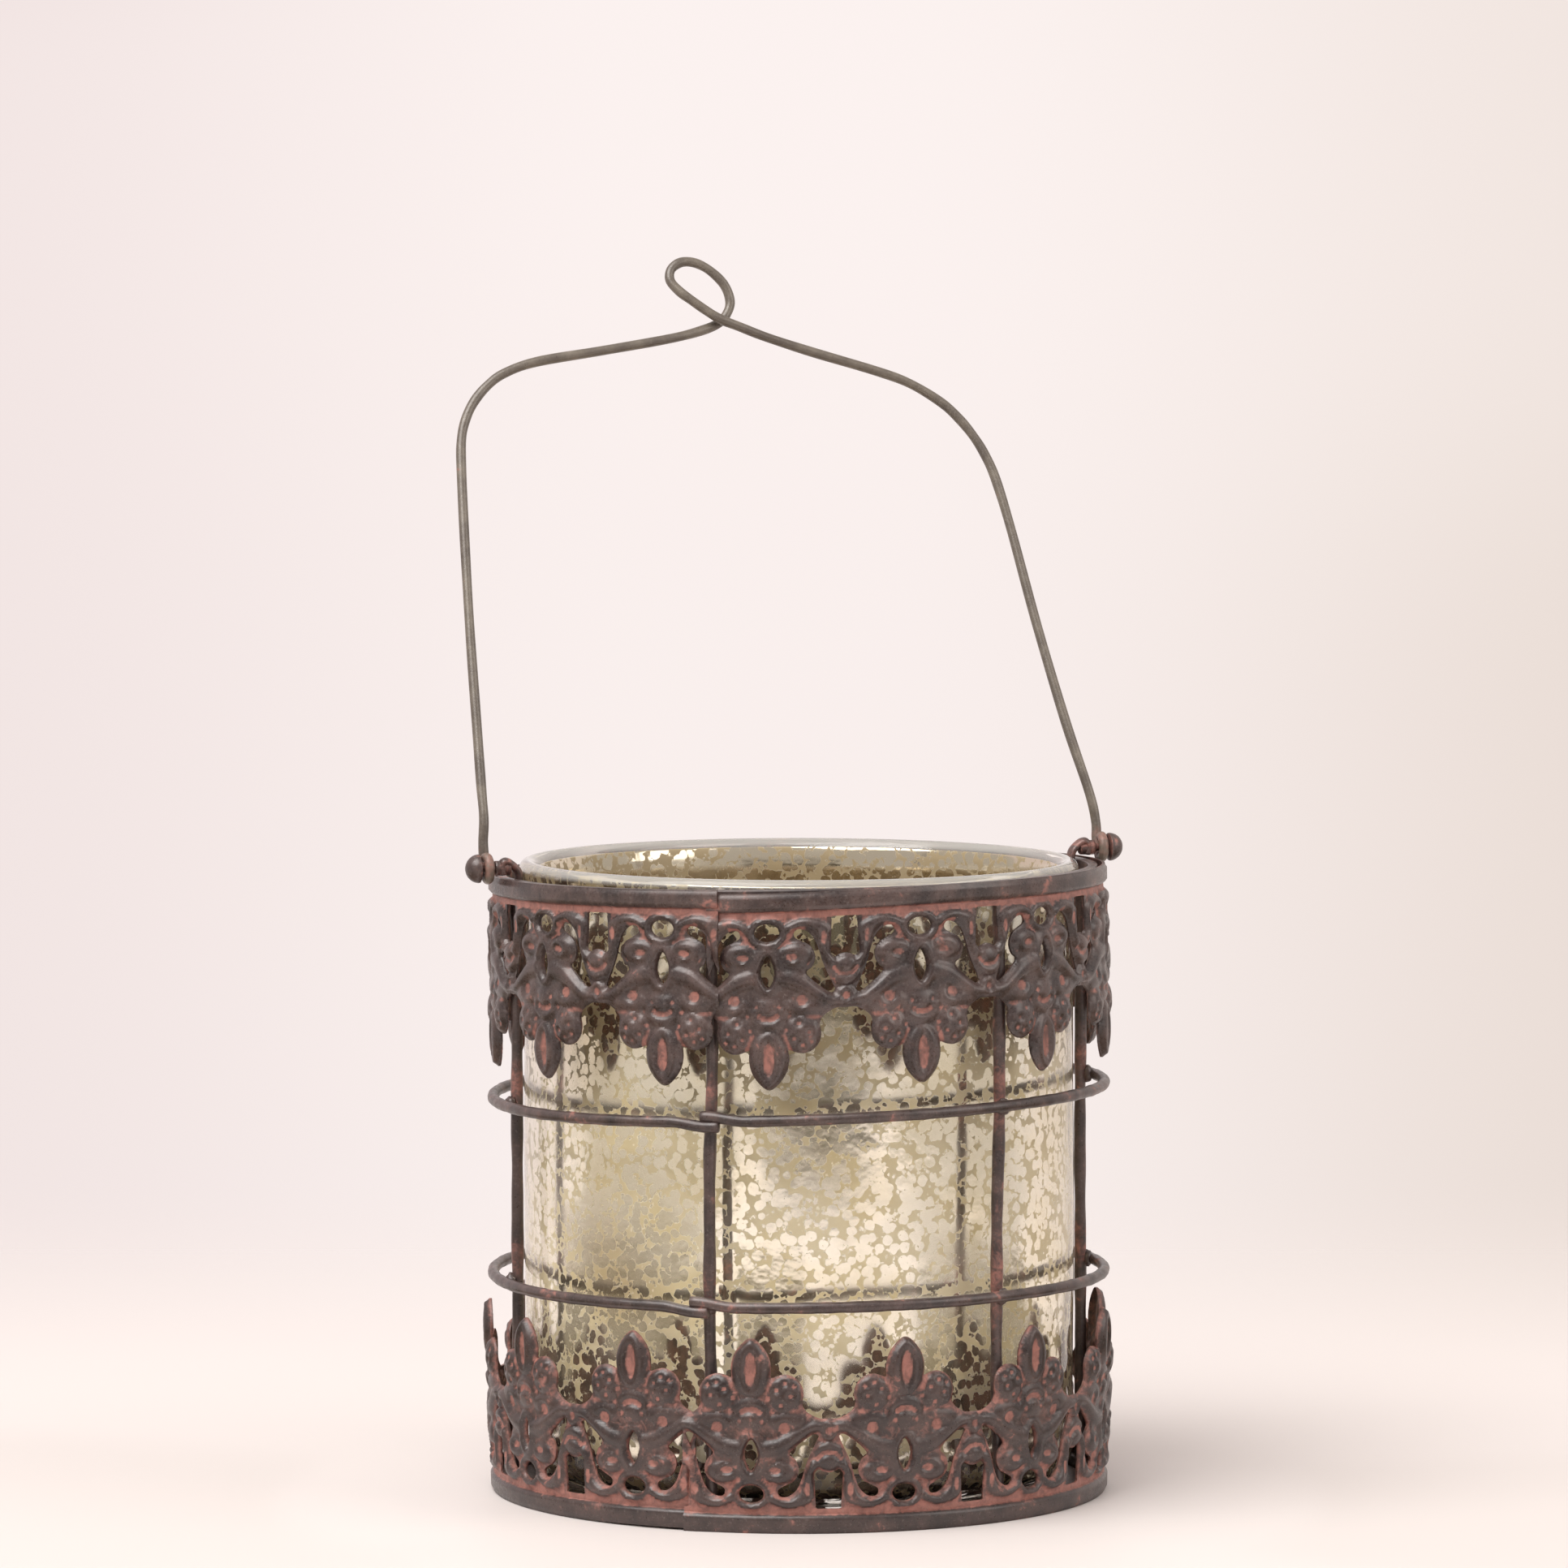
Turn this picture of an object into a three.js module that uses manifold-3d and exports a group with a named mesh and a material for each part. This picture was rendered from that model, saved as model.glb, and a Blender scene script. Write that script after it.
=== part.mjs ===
// Tealight holder: a silvered glass tumbler standing loose in a round wire cage.
// The cage has a strip of pressed metal lace at each end and a wire handle that swings on two
// ball-headed pins.
// Millimetres, +Z up. The origin is the centre of the underside, where the holder stands.
// Angles round the cage are measured from the front (-Y) towards the right (+X).

import * as THREE from 'three';
import { mergeVertices } from 'three/addons/utils/BufferGeometryUtils.js';
import Module from 'manifold-3d';

const wasm = await Module();
wasm.setup();

// Clearance between touching pieces.
const GAP = 0.3;

// Upright wires of the cage.
const UPRIGHT_RADIUS = 0.9;
const UPRIGHT_CIRCLE = 44.5;
const UPRIGHT_ANGLES = [-73, -17, 41.5, 103, 163, 223];

// Wire hoops round the outside of the uprights.
const HOOP_WIRE = 0.85;
const HOOP_CIRCLE = UPRIGHT_CIRCLE + UPRIGHT_RADIUS + GAP + HOOP_WIRE;
const UPPER_HOOP_HEIGHT = 61;
const UPPER_HOOP_TILT = 1.5;
const LOWER_HOOP_HEIGHT = 33.3;
const LOWER_HOOP_TILT = 0.35;

// Lace strips.
const BAND_INSIDE = 46;
const BAND_SHEET = 0.45;
const BAND_FLARE = 0.8;
const LEAF_COUNT = 13;
const UPPER_SEAM = -15.7;
const UPPER_PITCH = 28.35;
const LOWER_SEAM = -20.2;
const LOWER_PITCH = 28.1;
const MOTIF_WIDTH = 22.9;
const MOTIF_HEIGHT = 29;

// Flat rings inside the outer edges of the two strips.
const RING_INSIDE = 44.2;
const RING_OUTSIDE = 45.5;
const UPPER_RING_DEPTH = 2;
const BASE_RING_DEPTH = 2.5;

// The top of the cage sits a little out of level, up at the right and at the front.
const TOP_HEIGHT = 94.6;
const TOP_TILT_RIGHT = 1.0;
const TOP_TILT_FRONT = 0.6;
const RING_STANDS_PROUD = 0.4;

// Base plate and glass.
const PLATE_RADIUS = 43.8;
const PLATE_SHEET = 1;
const GLASS_FOOT = PLATE_SHEET + GAP;
const GLASS_FLOOR = 5.3;
const GLASS_HEIGHT = 96;
const GLASS_RADIUS = 41.9;
const GLASS_WALL = 2.3;
const LIP_RADIUS = 42.6;
const LINING_SHEET = 0.3;
const LINING_TOP = 94.6;
const LINING_FLARE = 0.4;

// Handle wire and its pins.
const HANDLE_WIRE = 0.75;
const HANDLE_YAW = 15;
const HANDLE_LEAN = 22;
const PIVOT_ABOVE_TOP = 1.5;
const EYE_CIRCLE = 1.65;
const EYE_OFFSET = 48.3;
const PIN_RADIUS = 0.6;
const BALL_RADIUS = 2.2;
const BALL_LENGTH = 2.35;
const LUG_OUTSIDE = 46;
const LUG_INSIDE = 42.95;
const LUG_TAIL = 3;
const LUG_STRIP = 0.9;
const LUG_WIDTH = 2.4;

// Smoothness of the round shapes.
const BAND_STEPS = 39;
const ROUND_STEPS = 48;
const GLASS_STEPS = 48;
const HOOP_SIDES = 6;
const WIRE_SIDES = 8;

const radians = THREE.MathUtils.degToRad;

function material(color, roughness, metalness) {
  return new THREE.MeshStandardMaterial({ color, roughness, metalness });
}

const patina = () => material(0x4e403f, 0.55, 0.75);
const clearGlass = () => material(0xdcd8c8, 0.05, 0);
const silvering = () => material(0xb9ae86, 0.25, 0.9);

function toManifold(geometry) {
  const bare = geometry.clone();
  bare.deleteAttribute('normal');
  bare.deleteAttribute('uv');
  const merged = mergeVertices(bare, 1e-4);
  return new wasm.Manifold(new wasm.Mesh({
    numProp: 3,
    vertProperties: new Float32Array(merged.attributes.position.array),
    triVerts: new Uint32Array(merged.index.array),
  }));
}

function toGeometry(manifold) {
  const mesh = manifold.getMesh();
  const geometry = new THREE.BufferGeometry();
  geometry.setAttribute('position', new THREE.BufferAttribute(new Float32Array(mesh.vertProperties), 3));
  geometry.setIndex(new THREE.BufferAttribute(new Uint32Array(mesh.triVerts), 1));
  geometry.computeVertexNormals();
  return geometry;
}

// A solid of revolution about Z. The profile is [radius, height] pairs, anticlockwise.
function turned(profile, steps) {
  const points = profile.map(([radius, height]) => new THREE.Vector2(radius, height));
  return new THREE.LatheGeometry(points, steps).rotateX(Math.PI / 2);
}

function closed(profile) {
  return [...profile, profile[0]];
}

function ring(inside, outside, bottom, top) {
  return turned(closed([[inside, bottom], [outside, bottom], [outside, top], [inside, top]]), ROUND_STEPS);
}

function onCircle(angle, radius, height) {
  const turn = radians(angle);
  return new THREE.Vector3(radius * Math.sin(turn), -radius * Math.cos(turn), height);
}

// ---- Lace strip --------------------------------------------------------------------------------
// One motif is drawn flat: u runs along the strip from the middle of the leaf, v from the strip's
// outer edge towards the leaf tip. Its left half mirrors its right half.

function oval(u, v, halfWidth, halfHeight, sides) {
  return Array.from({ length: sides }, (_, i) => {
    const turn = (2 * Math.PI * (i + 0.5)) / sides;
    return [u + halfWidth * Math.cos(turn), v + halfHeight * Math.sin(turn)];
  });
}

const mirrored = (outline) => outline.map(([u, v]) => [-u, v]).reverse();

const EYELET_HOLE = oval(0, 5.8, 2, 1.5, 6);
const TEARDROP_HOLE = [[0, 9.4], [0.95, 11.5], [0, 13.8], [-0.95, 11.5]];
const SCROLL_HOLE = [[4.3, 5.6], [6.7, 6.4], [9.7, 13.4], [9.3, 14.9], [5.4, 11.6], [6.7, 9.6], [5.4, 7.3]];

// Between two leaves, u is measured from the midpoint between them.
const URN_HOLE = [[-2, 3.7], [2, 3.7], [0.7, 8.9], [-0.7, 8.9]];
const HALF_NOTCH = [[1.6, 17], [3.6, 18.4], [3.9, 21.6], [6.2, 23.7], [8.4, 23], [8.8, 26]];
const NOTCH_TOP = MOTIF_HEIGHT + 2;

function notchOutline(halfGap) {
  const squeeze = halfGap / (MOTIF_WIDTH / 2);
  const side = HALF_NOTCH.map(([u, v]) => [u * squeeze, v]);
  side.push([halfGap, MOTIF_HEIGHT], [halfGap, NOTCH_TOP]);
  return [...mirrored(side), ...side];
}

// A prism of the flat outline, pointing out from the axis at the given angle.
function radialCutter(outline, angle) {
  const shape = new THREE.Shape(outline.map(([u, v]) => new THREE.Vector2(u, v)));
  const depth = 6;
  const prism = new THREE.ExtrudeGeometry(shape, { depth, bevelEnabled: false });
  const out = onCircle(angle, 1, 0);
  const along = new THREE.Vector3(-out.y, out.x, 0);
  const place = new THREE.Matrix4().makeBasis(along, new THREE.Vector3(0, 0, 1), out);
  place.setPosition(out.multiplyScalar(BAND_INSIDE - 3));
  return toManifold(prism.applyMatrix4(place));
}

function filigreeBand(seam, pitch, flare) {
  const outside = BAND_INSIDE + BAND_SHEET;
  const sheet = turned(closed([
    [BAND_INSIDE, 0],
    [outside, 0],
    [outside + flare, MOTIF_HEIGHT],
    [BAND_INSIDE + flare, MOTIF_HEIGHT],
  ]), BAND_STEPS);
  const seamGap = 360 - (LEAF_COUNT - 1) * pitch;
  const halfWidth = (gap) => BAND_INSIDE * Math.tan(radians(gap) / 2);
  const holes = [];
  for (let leaf = 0; leaf < LEAF_COUNT; leaf += 1) {
    const angle = seam + seamGap / 2 + leaf * pitch;
    holes.push([EYELET_HOLE, angle], [TEARDROP_HOLE, angle]);
    if (leaf < LEAF_COUNT - 1) {
      holes.push([SCROLL_HOLE, angle], [URN_HOLE, angle + pitch / 2]);
      holes.push([notchOutline(halfWidth(pitch)), angle + pitch / 2]);
    }
    if (leaf > 0) {
      holes.push([mirrored(SCROLL_HOLE), angle]);
    }
  }
  holes.push([notchOutline(halfWidth(seamGap)), seam]);
  let band = toManifold(sheet);
  for (const [outline, angle] of holes) {
    band = band.subtract(radialCutter(outline, angle));
  }
  return toGeometry(band);
}

// ---- Cage --------------------------------------------------------------------------------------

function hoop() {
  return new THREE.TorusGeometry(HOOP_CIRCLE, HOOP_WIRE, HOOP_SIDES, ROUND_STEPS);
}

function upright(angle) {
  const bottom = BASE_RING_DEPTH + GAP;
  const spot = onCircle(angle, UPRIGHT_CIRCLE, 0);
  const rise = spot.x * Math.tan(radians(TOP_TILT_RIGHT)) - spot.y * Math.tan(radians(TOP_TILT_FRONT));
  const ringUnderside = TOP_HEIGHT + RING_STANDS_PROUD - UPPER_RING_DEPTH;
  const top = ringUnderside + rise - 2 * GAP;
  const wire = new THREE.CylinderGeometry(UPRIGHT_RADIUS, UPRIGHT_RADIUS, top - bottom, WIRE_SIDES);
  return wire.rotateX(Math.PI / 2).translate(spot.x, spot.y, (bottom + top) / 2);
}

function basePlate() {
  return turned([[0, 0], [PLATE_RADIUS, 0], [PLATE_RADIUS, PLATE_SHEET], [0, PLATE_SHEET]], GLASS_STEPS);
}

// ---- Glass -------------------------------------------------------------------------------------

function glassJar() {
  const inside = GLASS_RADIUS - GLASS_WALL;
  return turned([
    [0, GLASS_FOOT + 0.9],
    [33, GLASS_FOOT + 0.9],
    [36, GLASS_FOOT],
    [38.6, GLASS_FOOT],
    [41, GLASS_FOOT + 2],
    [GLASS_RADIUS - 0.2, GLASS_FOOT + 5.5],
    [GLASS_RADIUS, GLASS_HEIGHT / 2],
    [GLASS_RADIUS - 0.2, GLASS_HEIGHT - 5],
    [LIP_RADIUS, GLASS_HEIGHT - 1.6],
    [LIP_RADIUS - 0.3, GLASS_HEIGHT - 0.5],
    [41.4, GLASS_HEIGHT],
    [40.3, GLASS_HEIGHT - 0.4],
    [inside, GLASS_HEIGHT - 3],
    [inside, 10.5],
    [38, GLASS_FLOOR + 1],
    [35, GLASS_FLOOR],
    [0, GLASS_FLOOR],
  ], GLASS_STEPS);
}

// The silvering is a thin cup inside the glass.
function silverLining() {
  const outside = GLASS_RADIUS - GLASS_WALL - GAP;
  const inside = outside - LINING_SHEET;
  const floor = GLASS_FLOOR + GAP;
  return turned([
    [0, floor],
    [34.9, floor],
    [37.8, floor + 1],
    [outside, 10.6],
    [outside, GLASS_HEIGHT - 3],
    [outside + LINING_FLARE, LINING_TOP],
    [inside + LINING_FLARE, LINING_TOP],
    [inside, GLASS_HEIGHT - 3],
    [inside, 10.7],
    [37.6, floor + 1 + LINING_SHEET],
    [34.8, floor + LINING_SHEET],
    [0, floor + LINING_SHEET],
  ], GLASS_STEPS);
}

// ---- Handle ------------------------------------------------------------------------------------
// The handle lies in its own plane: x along the line of the pins, z up the legs, y out of the
// plane. It was bent by hand, so its two sides differ.

const LEFT_SIDE = [
  [-48, 0.1, 8], [-47.9, 0, 13], [-47.6, 0, 22], [-47.1, 0, 37], [-46.4, 0, 52], [-45.7, 0, 64], [-45.2, 0, 69],
  [-44.3, 0, 72.2], [-42.7, 0, 75.2], [-40.3, 0, 77.9], [-37.3, 0, 80], [-32, 0, 81.8], [-21.7, 0, 83.4],
  [-11, 0.2, 85.2], [-5.6, 0.7, 86.6],
];
const TOP_LOOP = [
  [-2.2, 1, 88], [-0.6, 0.9, 89.6], [0.1, 0.7, 91.6], [-0.6, 0.4, 94.2], [-2.6, 0.2, 96.5], [-4.9, 0, 97.8],
  [-7.2, -0.2, 97.9], [-9, -0.3, 96.7], [-9.4, -0.4, 94.8], [-8.2, -0.6, 92.9], [-6.4, -0.8, 91.2],
  [-4.4, -0.9, 89.5], [-2.2, -1, 87.9],
];
const RIGHT_SIDE = [
  [0.6, -0.7, 86.8], [5, -0.2, 85.1], [12, 0, 82.6], [22, 0, 79.2], [27.2, 0, 77], [31.8, 0, 73.8], [34.4, 0, 71],
  [36.4, 0, 68], [37.9, 0, 64.8], [39.1, 0, 60.8], [40.5, 0, 52.7], [42.7, 0, 36.5], [45.3, 0, 20.4], [47.6, 0.1, 9],
];

// The eye at the foot of each leg, bent most of the way round its pin.
function eye(side) {
  const turns = [0, 45, 90, 135, 180, 225, 255];
  const bend = turns.map((turn) => [
    side * EYE_OFFSET,
    EYE_CIRCLE * Math.cos(radians(turn)),
    -EYE_CIRCLE * Math.sin(radians(turn)),
  ]);
  const neck = [[side * EYE_OFFSET, 0.9, 4.6], [side * EYE_OFFSET, 1.55, 2]];
  return [...neck, ...bend];
}

// Steps are shared out evenly between the points, so tight bends get short steps.
class BentWire extends THREE.CatmullRomCurve3 {
  getPointAt(share, target) {
    return this.getPoint(share, target);
  }

  getTangentAt(share, target) {
    return this.getTangent(share, target);
  }
}

function handle() {
  const route = [...eye(-1).reverse(), ...LEFT_SIDE, ...TOP_LOOP, ...RIGHT_SIDE, ...eye(1)];
  const path = new BentWire(route.map((point) => new THREE.Vector3(...point)), false, 'centripetal');
  const section = new THREE.Shape();
  section.absarc(0, 0, HANDLE_WIRE, 0, 2 * Math.PI);
  return new THREE.ExtrudeGeometry(section, {
    curveSegments: WIRE_SIDES / 2,
    steps: (route.length - 1) * 2,
    extrudePath: path,
  });
}

// A pin lies along x with its ball on the outside. Distances are from the cage's axis.
function pin(side) {
  const shoulder = EYE_OFFSET + HANDLE_WIRE + GAP;
  const foot = LUG_OUTSIDE + GAP;
  const dome = [0, 22.5, 45, 67.5, 90].map((turn) => [
    BALL_RADIUS * Math.cos(radians(turn)),
    shoulder + BALL_LENGTH * Math.sin(radians(turn)),
  ]);
  const profile = [[0, foot], [PIN_RADIUS, foot], [PIN_RADIUS, shoulder], ...dome.slice(0, -1), [0, dome[4][1]]];
  return turned(profile, 12).rotateY((side * Math.PI) / 2);
}

// A lug is a strip bent over the ring: one foot on the ring, the other down inside it.
function lug(side) {
  const seat = RING_STANDS_PROUD - PIVOT_ABOVE_TOP + GAP;
  const profile = [
    [LUG_OUTSIDE, seat],
    [LUG_OUTSIDE - 0.1, 1],
    [45.4, 1.7],
    [44.5, 1.7],
    [LUG_INSIDE, 0.4],
    [LUG_INSIDE, -LUG_TAIL],
    [LUG_INSIDE + LUG_STRIP, -LUG_TAIL],
    [LUG_INSIDE + LUG_STRIP, 0],
    [44.75, 0.8],
    [LUG_OUTSIDE - LUG_STRIP, seat],
  ];
  const shape = new THREE.Shape(profile.map(([along, up]) => new THREE.Vector2(along, up)));
  const strip = new THREE.ExtrudeGeometry(shape, { depth: LUG_WIDTH, bevelEnabled: false });
  strip.translate(0, 0, -LUG_WIDTH / 2).rotateX(Math.PI / 2);
  return side < 0 ? strip.rotateZ(Math.PI) : strip;
}

// ---- Assembly ----------------------------------------------------------------------------------

function piece(name, geometry, finish) {
  const mesh = new THREE.Mesh(geometry, finish());
  mesh.name = name;
  return mesh;
}

const holder = new THREE.Group();

holder.add(piece('base_plate', basePlate(), patina));
holder.add(piece('base_ring', ring(RING_INSIDE, RING_OUTSIDE, 0, BASE_RING_DEPTH), patina));
holder.add(piece('lower_filigree_band', filigreeBand(LOWER_SEAM, LOWER_PITCH, BAND_FLARE), patina));
UPRIGHT_ANGLES.forEach((angle, index) => {
  holder.add(piece(`upright_${index + 1}`, upright(angle), patina));
});

const lowerHoop = piece('lower_hoop', hoop(), patina);
lowerHoop.position.z = LOWER_HOOP_HEIGHT;
lowerHoop.rotation.y = -radians(LOWER_HOOP_TILT);
holder.add(lowerHoop);

const upperHoop = piece('upper_hoop', hoop(), patina);
upperHoop.position.z = UPPER_HOOP_HEIGHT;
upperHoop.rotation.y = -radians(UPPER_HOOP_TILT);
holder.add(upperHoop);

holder.add(piece('glass_jar', glassJar(), clearGlass));
holder.add(piece('silver_lining', silverLining(), silvering));

// Everything at the top of the cage shares its tilt, about the middle of the upper strip.
const tilted = new THREE.Group();
tilted.position.z = TOP_HEIGHT - MOTIF_HEIGHT / 2;
tilted.rotation.set(-radians(TOP_TILT_FRONT), -radians(TOP_TILT_RIGHT), 0);
holder.add(tilted);
const top = new THREE.Group();
top.position.z = MOTIF_HEIGHT / 2;
tilted.add(top);

const ringBottom = RING_STANDS_PROUD - UPPER_RING_DEPTH;
top.add(piece('upper_ring', ring(RING_INSIDE, RING_OUTSIDE, ringBottom, RING_STANDS_PROUD), patina));

// The upper strip is the same pressing turned over, so its leaves hang down.
const upperBand = piece('upper_filigree_band', filigreeBand(180 - UPPER_SEAM, UPPER_PITCH, 0), patina);
upperBand.rotation.x = Math.PI;
top.add(upperBand);

const pivots = new THREE.Group();
pivots.position.z = PIVOT_ABOVE_TOP;
pivots.rotation.z = radians(HANDLE_YAW);
top.add(pivots);
for (const [name, side] of [['left', -1], ['right', 1]]) {
  pivots.add(piece(`${name}_lug`, lug(side), patina));
  pivots.add(piece(`${name}_pivot`, pin(side), patina));
}

const bail = piece('handle', handle(), patina);
bail.rotation.x = -radians(HANDLE_LEAN);
pivots.add(bail);

export default holder;
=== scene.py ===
import math

import bpy
import numpy as np
from mathutils import Euler, Matrix, Vector, noise

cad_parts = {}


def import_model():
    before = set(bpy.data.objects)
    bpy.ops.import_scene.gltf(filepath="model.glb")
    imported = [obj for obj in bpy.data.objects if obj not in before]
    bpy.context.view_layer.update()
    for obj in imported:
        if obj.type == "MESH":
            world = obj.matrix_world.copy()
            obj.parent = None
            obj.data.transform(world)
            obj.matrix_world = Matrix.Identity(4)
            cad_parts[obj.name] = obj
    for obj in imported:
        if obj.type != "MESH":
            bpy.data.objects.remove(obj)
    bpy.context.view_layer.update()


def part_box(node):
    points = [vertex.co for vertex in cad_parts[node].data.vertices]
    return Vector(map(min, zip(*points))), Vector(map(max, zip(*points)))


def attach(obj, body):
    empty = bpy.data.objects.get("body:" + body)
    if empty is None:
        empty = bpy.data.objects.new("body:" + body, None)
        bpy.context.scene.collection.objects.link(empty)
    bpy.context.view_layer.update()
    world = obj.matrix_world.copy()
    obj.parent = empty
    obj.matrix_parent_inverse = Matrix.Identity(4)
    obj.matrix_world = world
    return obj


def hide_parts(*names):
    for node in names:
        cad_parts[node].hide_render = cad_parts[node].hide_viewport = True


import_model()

# A silvered glass tumbler in a round cage of wire and pressed metal lace.
# Shapes are worked out in millimetres and scaled to metres as each mesh is made.
MM = 0.001

# Lace strips. Angles round the cage are in degrees from the front towards +X, the lap among them.
BAND_RADIUS = 46.38
BAND_SHEET = 0.36
BAND_FLARE = 0.8
BAND_LAP = 1.1
LEAF_COUNT = 13
MOTIF_HEIGHT = 29.0
STRIP_HEIGHT = MOTIF_HEIGHT + 0.6
HALF_PITCH = 11.45
RELIEF = 1.05
BACK_REDNESS = 0.6
GRID = 0.32

# The top of the cage is a little out of level.
TOP_HEIGHT = 94.6
TOP_TILT = Euler((math.radians(-0.6), math.radians(-1.0), 0)).to_matrix()
TILT_CENTRE = Vector((0, 0, TOP_HEIGHT - MOTIF_HEIGHT / 2))

# Radii in the cage: its wires, the circle of the hoops' middles, and inside the flat rings.
UPRIGHT_WIRE = 0.9
HOOP_WIRE = 0.85
HOOP_CIRCLE = 46.55
RING_INSIDE = 44.2

# Tumbler and silvering. The silvering touches the glass all over.
GLASS_INSIDE = 39.2
SILVER_OUTSIDE = 39.3
SILVER_INSIDE = 39.0
ROUND_STEPS = 160

# Handle and pins.
HANDLE_YAW = math.radians(15)
HANDLE_LEAN = math.radians(22)
PIVOT_ABOVE_TOP = 1.5
HANDLE_WIRE = 0.75
EYE_CIRCLE = 1.65
EYE_OFFSET = 48.3
PIN_RADIUS = 0.6
BALL_RADIUS = 2.2


# ---- Mesh helpers ------------------------------------------------------------------------------

def make_piece(name, verts, faces, material, body, stands_for, recess, sharp=40):
    """A mesh piece in metres from points in millimetres, riding on a body.

    recess is a number for each point that the finish reads. sharp is the least angle of a hard edge."""
    mesh = bpy.data.meshes.new(name)
    mesh.from_pydata((np.asarray(verts) * MM).tolist(), [], faces)
    mesh.validate()
    layer = mesh.attributes.new("recess", "FLOAT", "POINT")
    layer.data.foreach_set("value", np.asarray(recess, dtype=np.float32))
    mesh.shade_smooth()
    mesh.set_sharp_from_angle(angle=math.radians(sharp))
    mesh.materials.append(material)
    obj = bpy.data.objects.new(name, mesh)
    bpy.context.scene.collection.objects.link(obj)
    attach(obj, body)
    if stands_for:
        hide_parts(*stands_for)


def smooth_path(points, per_span, closed=False):
    """A Catmull-Rom curve through the points."""
    p = np.asarray(points, dtype=float)
    count = len(p)
    spans = count if closed else count - 1
    out = []
    for i in range(spans):
        if closed:
            a, b, c, d = (p[(i + k - 1) % count] for k in range(4))
        else:
            a, b, c, d = (p[min(max(i + k - 1, 0), count - 1)] for k in range(4))
        for t in np.arange(per_span) / per_span:
            out.append(0.5 * (2 * b + (c - a) * t + (2 * a - 5 * b + 4 * c - d) * t * t
                              + (3 * b - a - 3 * c + d) * t ** 3))
    if not closed:
        out.append(p[-1])
    return np.array(out)


def tube(path, radius, sides=16, round_ends=True):
    """Points and faces of a wire along a path. radius is a number or one for each point."""
    path = np.asarray(path, dtype=float)
    radius = np.broadcast_to(radius, len(path))
    tangents = np.gradient(path, axis=0)
    tangents /= np.linalg.norm(tangents, axis=1)[:, None]
    if round_ends:
        path, radius, tangents = add_round_ends(path, radius, tangents)
    count = len(path)
    normal = np.cross(tangents[0], (0, 0, 1))
    if np.linalg.norm(normal) < 0.1:
        normal = np.cross(tangents[0], (0, 1, 0))
    normal /= np.linalg.norm(normal)
    turn = np.linspace(0, 2 * math.pi, sides, endpoint=False)
    verts = []
    for i in range(count):
        normal = normal - tangents[i] * (normal @ tangents[i])
        normal /= np.linalg.norm(normal)
        side = np.cross(tangents[i], normal)
        ring = path[i] + radius[i] * (np.cos(turn)[:, None] * normal + np.sin(turn)[:, None] * side)
        verts.extend(ring)
    faces = []
    for start in range(0, (count - 1) * sides, sides):
        for k in range(sides):
            n = (k + 1) % sides
            faces.append((start + k, start + n, start + sides + n, start + sides + k))
    faces.append(tuple(range(sides - 1, -1, -1)))
    faces.append(tuple((count - 1) * sides + k for k in range(sides)))
    return np.array(verts), faces


def add_round_ends(path, radius, tangents):
    """Extra rings that close a wire with a shallow dome at each end."""
    dome = [(0.28, 0.35), (0.2, 0.72), (0.09, 0.93)]
    head = [path[0] - tangents[0] * radius[0] * out for out, _ in dome]
    tail = [path[-1] + tangents[-1] * radius[-1] * out for out, _ in reversed(dome)]
    first = [radius[0] * share for _, share in dome]
    last = [radius[-1] * share for _, share in reversed(dome)]
    path = np.vstack([head, path, tail])
    radius = np.concatenate([first, radius, last])
    tangents = np.vstack([[tangents[0]] * 3, tangents, [tangents[-1]] * 3])
    return path, radius, tangents


def lathe(profile, steps, closed=False, wobble=None):
    """A solid of revolution about Z from (radius, height) pairs, anticlockwise."""
    profile = np.asarray(profile, dtype=float)
    count = len(profile)
    verts = []
    for s in range(steps):
        turn = 2 * math.pi * s / steps
        grow = wobble(turn, profile[:, 1]) if wobble else 0
        r = profile[:, 0] + grow * (profile[:, 0] > 1)
        verts.append(np.column_stack([r * math.sin(turn), -r * math.cos(turn), profile[:, 1]]))
    verts = np.vstack(verts)
    faces = []
    rows = count if closed else count - 1
    for s in range(steps):
        n = (s + 1) % steps
        for i in range(rows):
            j = (i + 1) % count
            faces.append((s * count + i, n * count + i, n * count + j, s * count + j))
    return weld(verts, faces)


def weld(verts, faces):
    """Joins points that lie together and drops the faces' doubled corners."""
    keys, kept, index = {}, [], []
    for v in verts:
        key = tuple(np.round(v, 4))
        if key not in keys:
            keys[key] = len(kept)
            kept.append(v)
        index.append(keys[key])
    out = []
    for face in faces:
        corners = list(dict.fromkeys(index[c] for c in face))
        if len(corners) > 2:
            out.append(tuple(corners))
    return np.array(kept), out


def join(parts):
    """Several (points, faces) as one."""
    verts, faces, start = [], [], 0
    for v, f in parts:
        verts.append(v)
        faces.extend(tuple(c + start for c in face) for face in f)
        start += len(v)
    return np.vstack(verts), faces


def soft_noise(points, size, seed):
    """Smooth noise from -1 to 1 at each point, with lumps about size millimetres across."""
    shift = Vector((seed * 17.3, seed * 5.1, seed * 9.7))
    return np.array([noise.noise(Vector(p) / size + shift) for p in points])


def smoothstep(low, high, x):
    """0 at low, 1 at high, and eased between them."""
    t = np.clip((x - low) / (high - low), 0, 1)
    return t * t * (3 - 2 * t)


def tilt_top(points):
    """Puts points that were laid out level into the tilted top of the cage."""
    centre = np.array(TILT_CENTRE)
    return (np.asarray(points) - centre) @ np.array(TOP_TILT).T + centre


# ---- Materials ---------------------------------------------------------------------------------

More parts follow.
